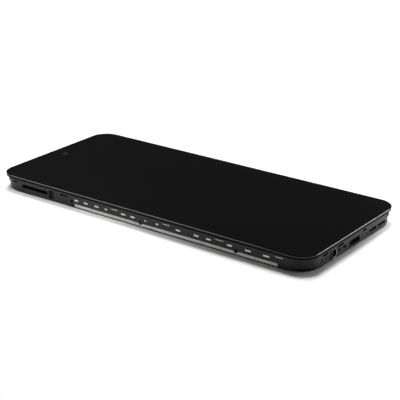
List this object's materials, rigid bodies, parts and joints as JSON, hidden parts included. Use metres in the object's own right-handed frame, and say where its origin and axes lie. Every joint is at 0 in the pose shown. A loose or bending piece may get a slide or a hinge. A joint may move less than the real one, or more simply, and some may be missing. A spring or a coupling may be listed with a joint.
{
  "type": "phone lcd screen assembly",
  "caption": "Black phone display with its frame: curved-edge cover glass over a backlit LCD module, in a moulded plastic surround on a metal midplate.",
  "frame": {"origin": "centre of the footprint, on the surface that the frame's foot stands on", "axes": "+X to the phone's right as seen from the glass, +Y to the phone's top, +Z out of the glass"},
  "size_m": [0.075, 0.1688, 0.0074],
  "materials": {
    "cover_glass": "polished, with black print on its back",
    "clear_film": "clear",
    "polarizer": "dark film",
    "cell_glass": "polished",
    "silicon": "bare chip",
    "prism_film": "ribbed film",
    "white_film": "white film",
    "white_plastic": "moulded",
    "flex_circuit": "amber film over copper",
    "pressed_steel": "pressed sheet",
    "black_tape": "matt",
    "black_foam": "foam",
    "frame_plastic": "fine moulded texture",
    "connector_plastic": "moulded",
    "cast_metal": "bare casting",
    "graphite": "rolled graphite film",
    "black_mesh": "woven, blackened",
    "conductive_foam": "metallised fabric over foam",
    "brass": "turned"
  },
  "bodies": {
    "root": {"cover_glass": "cover_glass", "optical_adhesive": "clear_film", "front_polarizer": "polarizer", "color_filter_glass": "cell_glass", "tft_glass": "cell_glass", "display_driver_chip": "silicon", "rear_polarizer": "polarizer", "shading_tape": "black_tape", "upper_prism_sheet": "prism_film", "lower_prism_sheet": "prism_film", "diffuser_sheet": "white_film", "light_guide_plate": "clear_film", "reflector_sheet": "white_film", "backlight_frame": "white_plastic", "led_light_bar": "flex_circuit", "backlight_metal_shell": "pressed_steel", "main_display_flex": "flex_circuit", "flex_stiffener": "pressed_steel", "flex_connector": "connector_plastic", "glass_bond_tape": "black_tape", "module_foam_tape": "black_foam", "plastic_frame": "frame_plastic", "metal_midplate": "cast_metal", "graphite_sheet": "graphite", "earpiece_mesh": "black_mesh", "front_camera_gasket": "black_foam", "speaker_mesh": "black_mesh", "grounding_foam_1": "conductive_foam", "grounding_foam_2": "conductive_foam", "screw_insert_1": "brass", "screw_insert_2": "brass", "screw_insert_3": "brass", "screw_insert_4": "brass", "screw_insert_5": "brass", "screw_insert_6": "brass", "screw_insert_7": "brass"}
  },
  "joints": []
}
